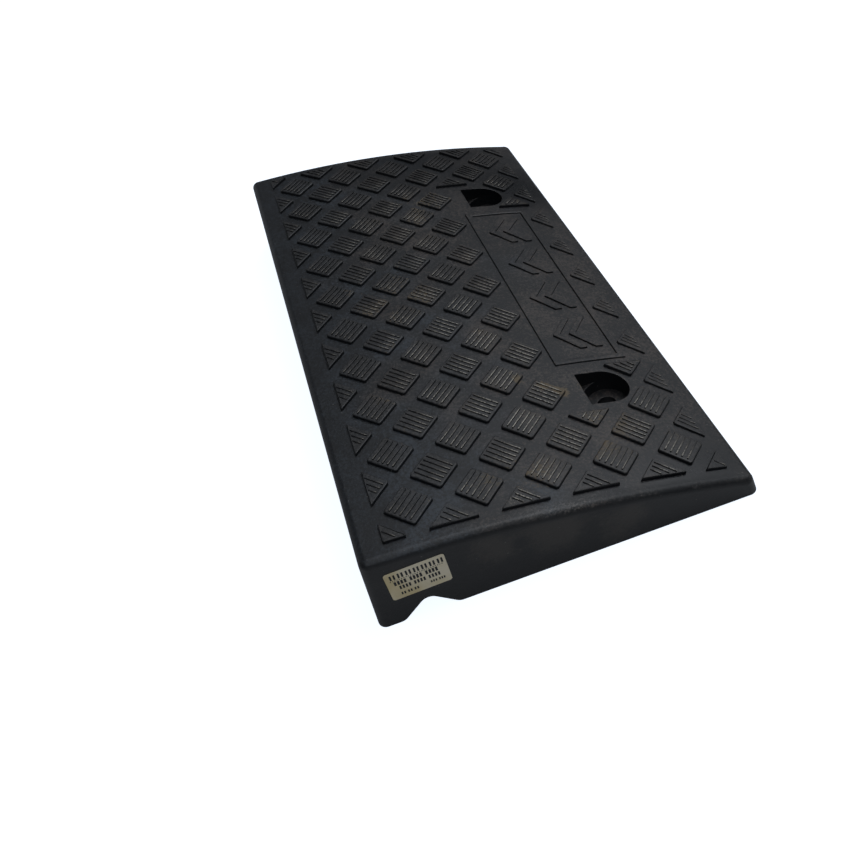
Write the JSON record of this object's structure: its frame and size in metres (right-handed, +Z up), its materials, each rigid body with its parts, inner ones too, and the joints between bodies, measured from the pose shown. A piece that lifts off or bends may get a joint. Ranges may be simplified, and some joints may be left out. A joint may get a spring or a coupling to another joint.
{
  "type": "kerb ramp",
  "caption": "One-piece moulded plastic kerb ramp with a bowed, studded deck, bolt recesses, a flat framed panel and a drain channel under its tall side.",
  "frame": {"origin": "on the ground, at the middle of the footprint", "axes": "+X downhill from the tall wall to the toe, +Y along the kerb, +Z up"},
  "size_m": [0.27, 0.5001, 0.07],
  "materials": {
    "ramp_plastic": "black moulded plastic, satin, dusty and a little scuffed",
    "label_film": "pale matt self-adhesive film"
  },
  "bodies": {
    "root": {"ramp_body": "ramp_plastic", "side_label": "label_film"}
  },
  "joints": []
}
